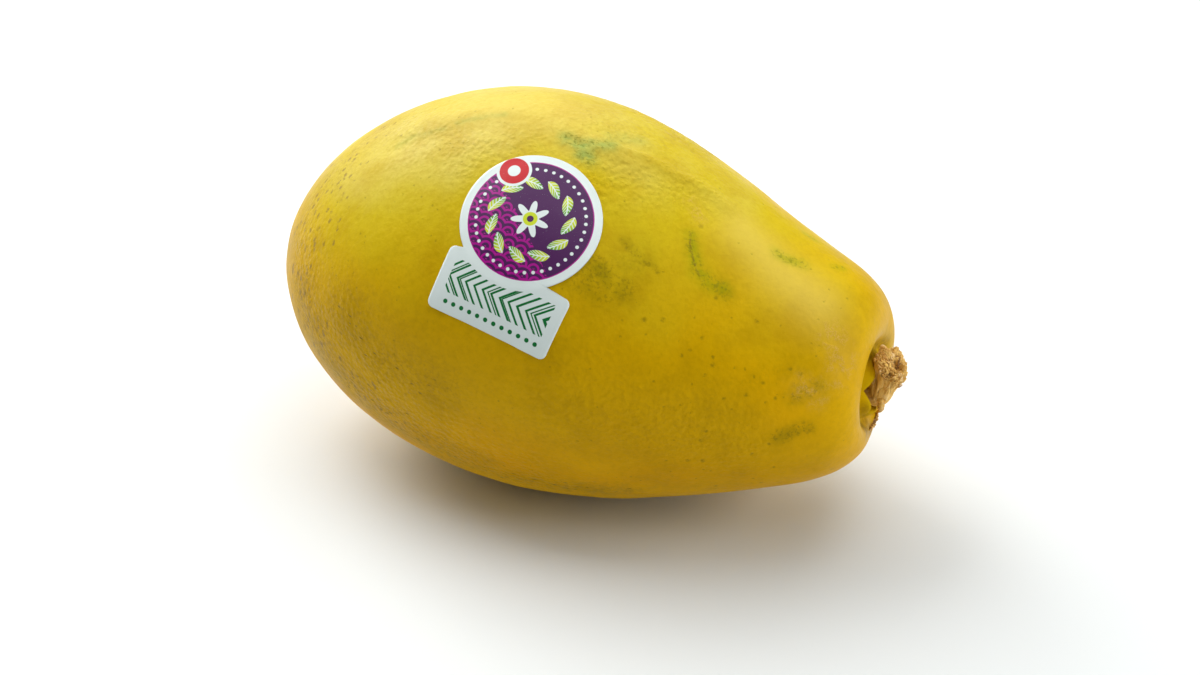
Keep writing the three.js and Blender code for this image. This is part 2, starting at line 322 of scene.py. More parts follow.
def bare_skin_point(u, angle):
    """Points of the skin about the long axis' middle; the angle is from the top towards +Y."""
    radius = skin_radius(u, angle)
    stem_half = u > 0.5
    relief = np.where(stem_half, stem_end_relief(radius, angle), recess(DIMPLE, radius))
    sunk = HOLLOW_DROP * hill(radius, DISH["radius"], DISH["steepness"])
    height = bezier(AXIS_HEIGHT, u) - np.where(stem_half, sunk, 0)
    x = LENGTH * (u - 0.5) + relief
    return np.stack([x, radius * np.sin(angle), radius * np.cos(angle) + height], -1)


def ring_places(rings):
    """Places along the fruit of this many rings, by radius at both ends and closer at the stem."""
    s = np.arange(1, rings) / rings
    from_blossom = s ** (1 / BLOSSOM_EXPONENT)
    from_stem = (1 - s) ** (STEM_CROWDING / STEM_EXPONENT)
    return from_blossom / (from_blossom + from_stem)


grid_u, grid_angle = np.meshgrid(
    ring_places(FRUIT_RINGS), -2 * math.pi * np.arange(FRUIT_SIDES) / FRUIT_SIDES, indexing="ij"
)
bare_grid = bare_skin_point(grid_u, grid_angle)
FRUIT_ORIGIN = np.array([
    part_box("fruit")[0].x / MM - bare_grid[..., 0].min(),
    0.0,
    -bare_grid[..., 2].min() - REST_CUT,
])
MOUTH = FRUIT_ORIGIN + [LENGTH / 2 - DISH["depth"], 0, AXIS_HEIGHT[-1] - HOLLOW_DROP]


def skin_point(u, angle):
    """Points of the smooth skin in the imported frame."""
    return bare_skin_point(u, angle) + FRUIT_ORIGIN


def skin_frame(u, angle):
    """Slopes of the skin along and around the fruit, and its outward normal."""
    step = 1e-5
    low, high = np.maximum(u - step, 0), np.minimum(u + step, 1)
    along = (skin_point(high, angle) - skin_point(low, angle)) / (high - low)[..., None]
    around = (skin_point(u, angle + step) - skin_point(u, angle - step)) / (2 * step)
    return along, around, unit(np.cross(along, around))


# ==== Camera, and what its pixels see

def camera_axes():
    """Unit vectors to the right, up and back of the camera."""
    right = Vector((math.cos(AZIMUTH), math.sin(AZIMUTH), 0))
    level = math.cos(ELEVATION)
    back = Vector((math.sin(AZIMUTH) * level, -math.cos(AZIMUTH) * level, math.sin(ELEVATION)))
    return right, back.cross(right), back


def camera_place():
    right, up, back = camera_axes()
    return Vector(FRUIT_ORIGIN) + AIM_RIGHT * right + AIM_UP * up + DISTANCE * back


def new_object(name, data):
    made = bpy.data.objects.new(name, data)
    bpy.context.scene.collection.objects.link(made)
    return made


def make_camera():
    right, up, back = camera_axes()
    camera = new_object("camera", bpy.data.cameras.new("camera"))
    camera.data.lens = LENS
    camera.data.sensor_width = SENSOR
    turn = Matrix((right, up, back)).transposed().to_4x4()
    camera.matrix_world = Matrix.Translation(camera_place() * MM) @ turn
    bpy.context.scene.camera = camera


def seen_at(pixel, surface):
    """Point of a surface that shows at this pixel of the view."""
    right, up, back = camera_axes()
    scale = SENSOR / LENS / VIEW_WIDTH
    across = (pixel[0] - VIEW_WIDTH / 2) * scale
    above = (VIEW_HEIGHT / 2 - pixel[1]) * scale
    hit = surface.ray_cast(camera_place(), (across * right + above * up - back).normalized())[0]
    if hit is None:
        raise ValueError(f"nothing shows at pixel {pixel}")
    return np.array(hit)


def seen_path(pixels, surface):
    return [seen_at(pixel, surface) for pixel in pixels]


# ==== Meshes

def ring_faces(rings, sides):
    """Faces of a closed surface from a first point, over rings, to a last point."""
    def at(ring, side):
        return 1 + ring * sides + side % sides

    last = 1 + rings * sides
    faces = [(0, at(0, j + 1), at(0, j)) for j in range(sides)]
    faces += [
        (at(i, j), at(i, j + 1), at(i + 1, j + 1), at(i + 1, j))
        for i in range(rings - 1)
        for j in range(sides)
    ]
    return faces + [(at(rings - 1, j), at(rings - 1, j + 1), last) for j in range(sides)]


def make_piece(name, points, faces, material, node):
    """Smooth mesh piece from points in millimetres, standing for a CAD node."""
    mesh = bpy.data.meshes.new(name)
    mesh.from_pydata((points * MM).tolist(), [], faces)
    mesh.shade_smooth()
    mesh.materials.append(material)
    piece = new_object(name, mesh)
    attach(piece, "root")
    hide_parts(node)
    return piece


def store(piece, name, values):
    """Keeps a number or a vector for each vertex, for the material to read."""
    kind, key = ("FLOAT_VECTOR", "vector") if values.ndim == 2 else ("FLOAT", "value")
    piece.data.attributes.new(name, kind, "POINT").data.foreach_set(key, values.ravel())


def roughness_of(points, size, octaves=1):
    """Smooth noise from -1 to 1 with bumps of about this size."""
    total = np.zeros(len(points))
    for octave in range(octaves):
        scaled = points / size * 2**octave
        total += np.array([noise.noise(point) for point in scaled]) / 2**octave
    return total


# ==== Materials

class Value:
    """A node's output. It can be added to, subtracted from and multiplied."""

    def __init__(self, material, socket):
        self.material = material
        self.socket = socket

    def __add__(self, other):
        return self.material.math("ADD", self, other)

    def __sub__(self, other):
        return self.material.math("SUBTRACT", self, other)

    def __mul__(self, other):
        return self.material.math("MULTIPLY", self, other)

    def __abs__(self):
        return self.material.math("ABSOLUTE", self)


class Material:
    """A material under construction. Its methods add nodes and give back their values."""

    def __init__(self, name, **sockets):
        self.made = bpy.data.materials.new(name)
        self.made.use_nodes = True
        self.tree = self.made.node_tree
        self.shader = self.tree.nodes["Principled BSDF"]
        self.colour = None
        for socket, value in sockets.items():
            self.shader.inputs[socket.replace("_", " ")].default_value = value

    def set(self, target, value):
        if isinstance(value, Value):
            self.tree.links.new(value.socket, target)
        else:
            target.default_value = value

    def node(self, kind, output, inputs, **settings):
        made = self.tree.nodes.new("ShaderNode" + kind)
        for name, value in settings.items():
            setattr(made, name, value)
        for name, value in inputs.items():
            self.set(made.inputs[name], value)
        return Value(self, made.outputs[output])

    def math(self, operation, *values, clamp=False):
        return self.node("Math", 0, dict(enumerate(values)), operation=operation, use_clamp=clamp)

    def vector(self, operation, *values, output="Vector"):
        return self.node("VectorMath", output, dict(enumerate(values)), operation=operation)

    def stored(self, name, output="Fac"):
        return self.node("Attribute", output, {}, attribute_name=name)

    def axis(self, coordinates, letter):
        return self.node("SeparateXYZ", letter, {"Vector": coordinates})

    def stretched(self, coordinates, x, y, z):
        return self.vector("MULTIPLY", coordinates, (x, y, z))

    def wobbly(self, coordinates, wobble, width):
        """Coordinates shifted by a noise colour, by up to half of this width to each side."""
        shift = self.vector("MULTIPLY_ADD", wobble, width, tuple(-part / 2 for part in width))
        return self.vector("ADD", coordinates, shift)

    def noise(self, coordinates, size, detail=2.0, rough=0.5, output="Fac"):
        """Noise from 0 to 1 whose bumps are about this size."""
        inputs = {"Vector": coordinates, "Scale": 1 / size, "Detail": detail, "Roughness": rough}
        return self.node("TexNoise", output, inputs)

    def cells(self, coordinates, size, output="Distance", feature="F1"):
        inputs = {"Vector": coordinates, "Scale": 1 / size}
        return self.node("TexVoronoi", output, inputs, feature=feature)

    def scattered(self, coordinates, spacing, share, outer, inner):
        """Spots in this share of the cells, from nothing at the outer distance to full at the inner."""
        pick = self.node("SeparateColor", "Red", {"Color": self.cells(coordinates, spacing, "Color")})
        chosen = self.math("LESS_THAN", pick, share)
        return chosen * self.step(self.cells(coordinates, spacing), outer, inner)

    def step(self, value, low, high, start=0.0, end=1.0):
        """Smooth change from start to end as value goes from low to high."""
        inputs = {"Value": value, "From Min": low, "From Max": high, "To Min": start, "To Max": end}
        return self.node("MapRange", "Result", inputs, interpolation_type="SMOOTHSTEP")

    def mix(self, share, first, second):
        made = self.tree.nodes.new("ShaderNodeMix")
        made.data_type = "RGBA"
        self.set(made.inputs["Factor"], share)
        targets = [socket for socket in made.inputs if socket.type == "RGBA"]
        for target, colour in zip(targets, (first, second)):
            self.set(target, (*colour, 1) if isinstance(colour, tuple) else colour)
        return Value(self, next(socket for socket in made.outputs if socket.type == "RGBA"))

    def paint(self, share, colour):
        """Covers this share of the colour so far with another."""
        self.colour = self.mix(share, self.colour, colour)

    def finish(self, roughness, height):
        """Links the colour, the roughness and a height in millimetres."""
        self.set(self.shader.inputs["Base Color"], self.colour)
        self.set(self.shader.inputs["Roughness"], roughness)
        bump = self.node("Bump", "Normal", {"Height": height, "Strength": 1.0, "Distance": MM})
        self.set(self.shader.inputs["Normal"], bump)
        return self.made


# painted highlight: pale colour laid over the top of the skin
PAINTED_TOP_SHEEN = (0.66, 0.54, 0.12)
LEMON = (0.60, 0.465, 0.01)
GOLD = (0.68, 0.385, 0.0005)
AMBER = (0.62, 0.275, 0.0005)
# painted bounce light: brighter gold for the skin nearest the floor
PAINTED_BOUNCE_GOLD = (0.88, 0.52, 0.001)
OCHRE = (0.42, 0.24, 0.0005)
OLIVE_BROWN = (0.25, 0.19, 0.001)
OLIVE_GREEN = (0.28, 0.31, 0.002)
# painted highlight: paler, bluer green of the marks high on the fruit
GREEN_UNDER_PAINTED_SHEEN = (0.22, 0.36, 0.09)
DEEP_GREEN = (0.14, 0.16, 0.01)
SPECK = (0.17, 0.12, 0.005)
GREYED = (0.40, 0.25, 0.012)
MAUVE_BROWN = (0.34, 0.19, 0.018)
# painted sheen: pale yellow of the broad shiny patches
PALE_TONE_AND_SHEEN_YELLOW = (0.76, 0.57, 0.11)
# brighter orange: painted light on the lower front, skin tone elsewhere
ORANGE_TONE_AND_PAINTED_LIGHT = (0.90, 0.47, 0.0005)
DASH = (0.20, 0.12, 0.008)
BLOT = (0.24, 0.145, 0.03)
PALE = (0.74, 0.46, 0.12)
CORK = (0.24, 0.165, 0.014)
# brown of the stains and of the painted shade at the hollow's rim
STAIN_AND_SHADE_BROWN = (0.22, 0.125, 0.008)
BLOSSOM_SCAR = (0.11, 0.065, 0.018)
# painted shade: olive darkening inside the stem-end hollow
PAINTED_HOLLOW_SHADE = (0.48, 0.33, 0.001)
TAN_RIM = (0.44, 0.31, 0.03)

BARK = (0.86, 0.52, 0.11)
BARK_DARK = (0.66, 0.36, 0.06)
# pale bark tone, also the painted highlight on bumps
BARK_PALE_AND_HIGHLIGHT = (0.88, 0.62, 0.28)
FLAKE = (0.52, 0.24, 0.03)
FIBRE = (0.82, 0.50, 0.11)
# painted shade in creases
PAINTED_CREASE_SHADE = (0.13, 0.05, 0.012)

PAPER = (0.76, 0.84, 0.81)
PURPLE = (0.070, 0.008, 0.085)
MAGENTA = (0.40, 0.003, 0.25)
LIME = (0.60, 0.70, 0.02)
LEAF = (0.10, 0.36, 0.02)
RED = (0.56, 0.006, 0.011)
BOTTLE = (0.0, 0.16, 0.028)
SKIN_IOR = 1.15
SKIN_TINT = (1.0, 0.9, 0.5, 1)  # of its highlights

# Sizes of the skin's patterns and distances between its marks, in millimetres
RIPENESS_SIZE = 30
CLOUD_SIZE = 17
CROWD_SIZE = 11
FRECKLE_SPACING = 6.5
GLOSS_SIZE = 6
GREYED_SIZE = 3.5
BLOTCH_SIZE = 3.2
EDGE_SIZE = 2.5
LUMP_SIZE = 2.2
SPECK_SPACING = 1.8
BLOT_SPACING = 1.8
MOTTLE_SIZE = 1.7
PATCH_SIZE = 1.3
PEBBLE_SIZE = 1.25
DASH_SPACING = 1.2
SQUIGGLE_SIZE = 0.9
DOT_SIZE = 0.85
GRAIN_SIZE = 0.65
WOBBLE_SIZE = 0.6


class Skin(Material):
    """The papaya's skin. Each layer is painted over those before it; some give back a relief."""

    def __init__(self, surface):
        super().__init__("papaya_skin", IOR=SKIN_IOR, Specular_Tint=SKIN_TINT)
        self.surface = surface
        self.place = self.vector("MULTIPLY", self.node("TexCoord", "Object", {}), (1 / MM,) * 3)
        self.wobble = self.noise(self.place, WOBBLE_SIZE, 2, 0.5, "Color")
        self.wobbled = self.wobbly(self.place, self.wobble, (0.8, 0.8, 0.8))
        self.above_floor = self.axis(self.place, "Z")
        self.from_mouth = self.stored("mouth") + self.noise(self.place, EDGE_SIZE, 3, 0.6)
        self.russet_and_shade = self.stored("russet_and_shade")
        self.mottle = self.noise(self.place, MOTTLE_SIZE, 5, 0.72)
        self.fine = self.noise(self.place, GRAIN_SIZE, 3, 0.7)

    def patches(self, size, detail, rough, *limits):
        """Smooth step over noise of this size."""
        return self.step(self.noise(self.place, size, detail, rough), *limits)

    def ground(self, end_lift=0.15, spread=34):
        """Lemon above and at both ends, through gold, to amber below, by height in millimetres: partly
        painted light, with a painted highlight on top, deeper amber as painted shade lower down and
        painted bounce light underneath.
        """
        level = abs(self.axis(self.place, "X")) * end_lift + self.above_floor
        level = (self.noise(self.place, RIPENESS_SIZE) - 0.5) * spread + level
        self.colour = self.mix(self.step(level, 58, 96), GOLD, LEMON)
        # painted highlight: pale colour over the highest skin
        self.paint(self.step(level, 86, 105), PAINTED_TOP_SHEEN)
        # painted shade: deeper amber lower down the fruit
        self.paint(self.step(level, 50, 10), AMBER)
        # painted bounce light: brighter skin low over the floor
        self.paint(self.step(self.above_floor, 26, 5), PAINTED_BOUNCE_GOLD)

    def tone_and_painted_light(self):
        """Wide clouds, a mottle of a few millimetres, a fine grain, broad pale patches of painted sheen
        and brighter orange patches of painted light.
        """
        self.paint(self.patches(CLOUD_SIZE, 4, 0.6, 0.44, 0.7, 0, 0.4), OCHRE)
        self.paint(self.step(self.mottle, 0.42, 0.66, 0, 0.2), OCHRE)
        self.paint(self.step(self.fine, 0.48, 0.66) * (self.russet_and_shade * 0.35 + 0.13), OCHRE)
        # painted sheen: broad pale patches where the lights shine on the skin
        self.paint(self.stored("pale_tone_and_painted_sheen") * 0.55, PALE_TONE_AND_SHEEN_YELLOW)
        # painted light: brighter orange patches that lift the lower front
        self.paint(self.stored("orange_tone_and_painted_light") * 0.55, ORANGE_TONE_AND_PAINTED_LIGHT)

    def blossom_half(self):
        """Skin dulled by painted shade, greyish-brown clouds, short dark dashes along the fruit, and round
        blots.
        """
        # painted shade: duller ochre over the lower left and belly
        self.paint(self.russet_and_shade * 0.30, OCHRE)
        self.paint(self.russet_and_shade * self.patches(GREYED_SIZE, 4, 0.65, 0.42, 0.66) * 0.36, GREYED)
        self.paint(self.russet_and_shade * self.patches(PATCH_SIZE, 4, 0.65, 0.47, 0.62, 0, 0.42), MAUVE_BROWN)
        along = self.stretched(self.stored("grain", "Vector"), 0.55, 1, 1)
        bend = self.stretched(self.noise(along, SQUIGGLE_SIZE, 3, 0.6, "Color"), 0.8, 0.8, 0.8)
        bent = self.vector("ADD", along, bend)
        dashes = self.scattered(bent, DASH_SPACING, self.russet_and_shade * 0.5 - 0.16, 0.36, 0.10)
        self.paint(dashes * 0.8, DASH)
        shift = self.stretched(self.wobble, 1.4, 1.4, 1.4)
        bent = self.vector("ADD", self.stretched(self.place, 1, 1, 0.55), shift)
        blots = self.scattered(bent, BLOT_SPACING, self.stored("blots") * 0.75, 0.44, 0.10)
        self.paint(blots * 0.75, BLOT)
        return dashes * -0.16

    def specks(self):
        """Small specks in loose groups, larger spots one by one, and freckles on the far side."""
        crowd = self.patches(CROWD_SIZE, 2, 0.5, 0.42, 0.68, 0.03, 0.42)
        specks = self.scattered(self.wobbled, SPECK_SPACING, crowd, 0.24, 0.05)
        spots = self.step(self.inside_spots(), -0.5, 0.9) * self.patches(0.7, 3, 0.6, 0.36, 0.56, 0.3, 1)
        freckles = self.scattered(self.wobbled, FRECKLE_SPACING, 0.55, 0.13, 0.03)
        spots = self.math("MAXIMUM", spots, freckles * self.stored("behind"))
        specks = self.math("MAXIMUM", specks * 0.4, spots * 0.6)
        self.paint(specks, SPECK)
        return specks * -0.06

    def rubbed(self):
        """Rubbed places, green or olive brown: a broken wash with darker dots in it."""
        blotches = self.patches(BLOTCH_SIZE, 4, 0.6, 0.36, 0.60, 0.45, 1)
        dotted = self.patches(DOT_SIZE, 3, 0.6, 0.50, 0.62)
        # painted highlight: marks high on the fruit turn a paler, bluer green
        greens = self.mix(self.step(self.above_floor, 83, 92), OLIVE_GREEN, GREEN_UNDER_PAINTED_SHEEN)
        for name, wash, dark in (("olive", OLIVE_BROWN, SPECK), ("green", greens, DEEP_GREEN)):
            mark = self.stored(name)
            self.paint(mark * blotches * 0.78, wash)
            self.paint(self.step(mark, 0.15, 0.7) * dotted * 0.45, dark)

    def scuffs(self):
        """Pale net of scuffs."""
        squiggle = abs(self.noise(self.wobbled, SQUIGGLE_SIZE, 3, 0.6) - 0.5)
        net = self.step(squiggle, 0.07, 0.015) * self.patches(LUMP_SIZE, 2, 0.5, 0.40, 0.56)
        scuff = self.stored("scuff")
        self.paint(scuff * 0.10, PALE)
        self.paint(scuff * net * 0.6, PALE)
        return scuff * net * 0.06

    def corky_scar(self):
        """Paints the corky scar and gives back how much of it is here."""
        line = self.step(self.near_path(CORKY_SCAR), 0.45, 0.05)
        scar = line * self.patches(PATCH_SIZE, 2, 0.5, 0.40, 0.56)
        self.paint(scar * 0.75, CORK)
        return scar

    def stem_end(self):
        """A tan rim, an olive hollow that is painted shade, a corky core, and brown stains at its edge
        with painted shade under its top rim.
        """
        rim = self.step(self.from_mouth, 9.5, 11) * self.step(self.from_mouth, 16, 12)
        self.paint(rim * 0.25, TAN_RIM)
        # painted shade: olive darkening inside the hollow
        self.paint(self.step(self.from_mouth, 11, 9) * 0.5, PAINTED_HOLLOW_SHADE)
        self.paint(self.step(self.from_mouth, 4.4, 3.4), CORK)
        # brown stains and painted shade round the hollow
        self.paint(self.stored("stain_and_shade") * self.step(self.mottle, 0.36, 0.56, 0.3, 0.85), STAIN_AND_SHADE_BROWN)

    def blossom_end(self, pole):
        """A brown scar whose tan edge runs out in streaks."""
        direction = self.vector("NORMALIZE", self.vector("SUBTRACT", self.place, tuple(pole)))
        from_pole = self.noise(direction, 0.28, 3, 0.6) * -3.6 + self.stored("pole")
        from_pole = self.noise(self.place, SQUIGGLE_SIZE, 3, 0.6) + from_pole
        self.paint(self.step(from_pole, 3.2, -0.4, 0, 0.8), TAN_RIM)
        scar = self.step(from_pole, 0.6, -0.9)
        self.paint(scar * 0.9, BLOSSOM_SCAR)
        return scar * self.noise(self.place, 0.6, 3, 0.7) * 0.5

    def bumps(self):
        """Pebbles and low lumps, higher on leathery skin, and a fine grain."""
        leathery = self.stored("leathery")
        pebbles = self.step(self.cells(self.wobbled, PEBBLE_SIZE, feature="SMOOTH_F1"), 0.0, 0.8, 1, 0)
        lumps = self.noise(self.place, LUMP_SIZE, 3, 0.6)
        return pebbles * (leathery * 0.34 + 0.04) + lumps * (leathery * 0.34 + 0.10) + self.fine * 0.05

    def near_path(self, pixels):
        """Distance in millimetres from the path through these pixels."""
        nearest = None
        points = seen_path(pixels, self.surface)
        for start, end in zip(points, points[1:]):
            ahead = end - start
            offset = self.vector("SUBTRACT", self.wobbled, tuple(start))
            along = self.vector("DOT_PRODUCT", offset, tuple(ahead / (ahead @ ahead)), output="Value")
            share = self.math("MULTIPLY", along, 1.0, clamp=True)
            inputs = {0: tuple(ahead), "Scale": share}
            foot = self.node("VectorMath", "Vector", inputs, operation="SCALE")
            distance = self.vector("DISTANCE", offset, foot, output="Value")
            nearest = distance if nearest is None else self.math("MINIMUM", nearest, distance)
        return nearest

    def inside_spots(self):
        """How far inside the nearest of the spots, from below 0 outside to 1 at its centre."""
        deepest = None
        for pixel, radius in SPOTS:
            centre = tuple(seen_at(pixel, self.surface))
            distance = self.vector("DISTANCE", self.wobbled, centre, output="Value")
            depth = distance * (-1 / (radius * SPOT_SPREAD)) + 1.0
            deepest = depth if deepest is None else self.math("MAXIMUM", deepest, depth)
        return deepest


def skin_material(surface, pole):
    skin = Skin(surface)
    skin.ground()
    skin.tone_and_painted_light()
    relief = skin.bumps() + skin.blossom_half() + skin.specks()
    skin.rubbed()
    relief = relief + skin.scuffs()
    scar = skin.corky_scar()
    relief = relief + scar * skin.noise(skin.place, 0.5, 3, 0.7) * 0.2
    skin.stem_end()
    relief = relief + skin.blossom_end(pole)
    rough = skin.patches(GLOSS_SIZE, 3, 0.5, 0.35, 0.7, 0.38, 0.48) + scar * 0.3
    dull_hollow = skin.step(skin.from_mouth, 13, 10) * 0.45
    return skin.finish(skin.math("ADD", dull_hollow, rough, clamp=True), relief)


# ==== Fruit

def far_from_path(points, path):
    """Distance of each point from a path."""
    nearest = np.full(len(points), np.inf)
    for start, end in zip(path, path[1:]):
        ahead = end - start
        share = np.clip((points - start) @ ahead / (ahead @ ahead), 0, 1)
        nearest = np.minimum(nearest, np.linalg.norm(points - start - share[:, None] * ahead, axis=1))
    return nearest


def mark_share(points, name, surface):
    """How strongly the marks of this name cover each point, from 0 to 1."""
    marks = [(seen_path(pixels, surface), width, strength)
             for *pixels, width, strength in SEEN[name]]
    marks += [(skin_point(*np.transpose(places)), width, strength)
              for *places, width, strength in BEHIND.get(name, [])]
    share = np.zeros(len(points))
    for path, half_width, strength in marks:
        share = np.maximum(share, strength * hill(far_from_path(points, path), half_width))
    return share


def furrow(distance, depth=0.28, width=0.8, lip=0.16, lip_offset=1.6, lip_width=0.9):
    """Height of a furrow with raised lips at this distance from its middle."""
    return lip * hill(distance - lip_offset, lip_width) - depth * hill(distance, width)


def skin_lumps(points, leathery, surface):
    """Uneven height of the skin over its smooth form, in millimetres."""
    height = WAVES["height"] * roughness_of(points, WAVES["size"], 2)
    height += LEATHER["rise"] + LEATHER["height"] * leathery * roughness_of(points, LEATHER["size"], 3)
    for *pixels, rise, half_width in FOLDS:
        height += rise * hill(far_from_path(points, seen_path(pixels, surface)), half_width)
    for pixels in FURROWS:
        height += furrow(far_from_path(points, seen_path(pixels, surface)))
    return height


def dash_grain(points, surface):
    """For each point: how far it is from where the dashes start, and its place round the line there."""
    start = seen_at(BLOSSOM_END_SEEN, surface)
    axis = unit(MOUTH - start)
    side = unit(np.cross(axis, (0, 0, 1)))
    offset = points - start
    turn = np.arctan2(offset @ side, offset @ np.cross(side, axis))
    circle = DASH_CIRCLE * np.sin(turn), DASH_CIRCLE * np.cos(turn)
    return np.stack([np.linalg.norm(offset, axis=1), *circle], -1)


def make_fruit():
    """Makes the fruit and gives back a search tree of its finished skin."""
    u, angle = grid_u.ravel(), grid_angle.ravel()
    smooth = bare_grid + FRUIT_ORIGIN
    poles = [skin_point(np.array(end), np.array(0.0)) for end in (0.0, 1.0)]
    points = np.vstack([poles[0], smooth.reshape(-1, 3), poles[1]])
    faces = ring_faces(FRUIT_RINGS - 1, FRUIT_SIDES)
    surface = BVHTree.FromPolygons(points.tolist(), faces)

    normals = np.vstack([(-1, 0, 0), skin_frame(u, angle)[2], (1, 0, 0)])
    shares = {name: mark_share(points, name, surface) for name in SEEN}
    lumps = skin_lumps(points, shares["leathery"], surface)
    lumped = points + normals * lumps[:, None]
    lumped[:, 2] = np.maximum(lumped[:, 2], 0)

    fruit = make_piece("papaya_fruit", lumped, faces, skin_material(surface, poles[0]), "fruit")
    store(fruit, "grain", dash_grain(points, surface))
    for name, share in shares.items():
        store(fruit, name, share)
    store(fruit, "behind", np.clip(-TURNING_AWAY * dots(normals, np.array(camera_axes()[2])), 0, 1))
    radius = skin_radius(u, angle)
    store(fruit, "mouth", np.concatenate([[FAR], np.where(u > 0.5, radius, FAR), [0]]))
    store(fruit, "pole", np.concatenate([[0], np.where(u < 0.5, radius, FAR), [FAR]]))
    return BVHTree.FromPolygons(lumped.tolist(), faces)


# ==== Stem stub

def route_point(t):
    """Points of the smooth curve through the stem's route, at shares t of its control points."""
    control = np.array(STEM_ROUTE, dtype=float)
    control = np.vstack([2 * control[0] - control[1], control, 2 * control[-1] - control[-2]])
    spans = len(STEM_ROUTE) - 1
    span = np.minimum((t * spans).astype(int), spans - 1)
    w = (t * spans - span)[:, None]
    before, start, end, after = (control[span + k] for k in range(4))
    gaps = [np.linalg.norm(b - a, axis=1, keepdims=True) ** 0.5
            for a, b in ((before, start), (start, end), (end, after))]
    leaving = (start - before) / gaps[0] - (end - before) / (gaps[0] + gaps[1]) + (end - start) / gaps[1]
    arriving = (end - start) / gaps[1] - (after - start) / (gaps[1] + gaps[2]) + (after - end) / gaps[2]
    leaving, arriving = leaving * gaps[1], arriving * gaps[1]
    bend = -3 * start + 3 * end - 2 * leaving - arriving
    return start + leaving * w + bend * w**2 + (2 * start - 2 * end + leaving + arriving) * w**3


def stem_rings():
    """For each ring of the stub: place along its route, share of the radius and rise past it."""
    rings = STEM_RINGS + 1
    sides = np.stack([np.arange(rings) / STEM_RINGS, np.ones(rings), np.zeros(rings)])
    profile = np.array([(1.0, 0.0), *TORN_END])
    place = np.arange(1, PIT_RINGS + 1) / PIT_RINGS * (len(profile) - 1)
    torn = [np.interp(place, np.arange(len(profile)), column) for column in profile.T]
    return np.hstack([sides, [np.ones(PIT_RINGS), *torn]])


def crumbs_of(points, size, octaves=2):
    """Noise from 0 in narrow creases to 1 on rounded bumps of about this size."""
    return np.minimum(1, 2.2 * abs(roughness_of(points, size, octaves)))


def stem_axes(t):
    """The route's points, the directions ahead, outwards and across it, and the way travelled."""
    step = 1e-4
    route = route_point(t)
    forward = unit(route_point(np.minimum(1, t + step)) - route_point(np.maximum(0, t - step)))
    outer = unit(np.cross((0, 1, 0), forward))
    across = np.cross(forward, outer)
    travelled = np.cumsum(np.linalg.norm(np.diff(route, axis=0, prepend=route[:1]), axis=1))
    return (column[:, None] for column in (route, forward, outer, across, travelled))


def smooth_stem():
    """The stub's form about its mouth before the wood's relief, by ring and side."""
    t, share, rise = (row[:, None] for row in stem_rings())
    turn = 2 * math.pi * np.arange(STEM_SIDES)[None, :] / STEM_SIDES
    route, forward, outer, across, travelled = stem_axes(t[:, 0])
    rib = 1 + STEM_RIB_DEPTH * t * np.cos(STEM_RIBS * turn)
    radius = share * bezier(STEM_RADII, t) * rib
    tear = TEAR_ROUGHNESS * np.sin(TEAR_TEETH * turn) - TEAR_SLANT * np.cos(turn - TEAR_LOWEST)
    lengthwise = np.maximum(0, 2 * t - 1) ** 2 * share * tear + rise
    outward = outer * np.cos(turn)[..., None] + across * np.sin(turn)[..., None]
    middle = route + outer * (PIT_OFFSET * (1 - share))[..., None]
    points = middle + outward * radius[..., None] + forward * lengthwise[..., None]
    twist = turn + WOOD_TWIST * travelled
    grain = np.stack([travelled + lengthwise, radius * np.cos(twist), radius * np.sin(twist)], -1)
    return SimpleNamespace(t=t, share=share, turn=turn, forward=forward, outward=outward,
                           points=points, grain=grain)


def wood_relief(grain, fold_size=1.9, crumb_size=0.8, clump_size=1.7):
    """Folds of the bark, and crumbs and clumps of the torn wood, at these places in the grain."""
    flat = grain.reshape(-1, 3)
    folds = crumbs_of(flat * (0.10, 1, 1), fold_size)
    crumbs = crumbs_of(flat * (0.7, 1, 1) + 40, crumb_size, 3)
    clumps = roughness_of(flat * (0.5, 1, 1) + 80, clump_size, 2)
    return (values.reshape(grain.shape[:-1]) for values in (folds, crumbs, clumps))


def stem_surface(rings):
    """Search tree of the stub with these points about its mouth."""
    return BVHTree.FromPolygons((closed_rings(rings) + MOUTH).tolist(), ring_faces(len(rings), STEM_SIDES))


def bead_and_slit(smooth, bead_height=0.55, bead_radius=0.55, moat_depth=0.25, moat_circle=0.95,
                  moat_width=0.25, slit_width=0.45):
    """Height of the bead, painted bright as a highlight, and share of the slit, painted dark as shade,
    where the photograph shows them.
    """
    surface = stem_surface(smooth)
    from_bead = np.linalg.norm(smooth + MOUTH - seen_at(STEM_BEAD, surface), axis=-1)
    from_slit = far_from_path((smooth + MOUTH).reshape(-1, 3), seen_path(STEM_SLIT, surface))
    moat = moat_depth * hill(from_bead - moat_circle, moat_width)
    bead = bead_height * hill(from_bead, bead_radius, 4) - moat
    return bead, hill(from_slit.reshape(from_bead.shape), slit_width)


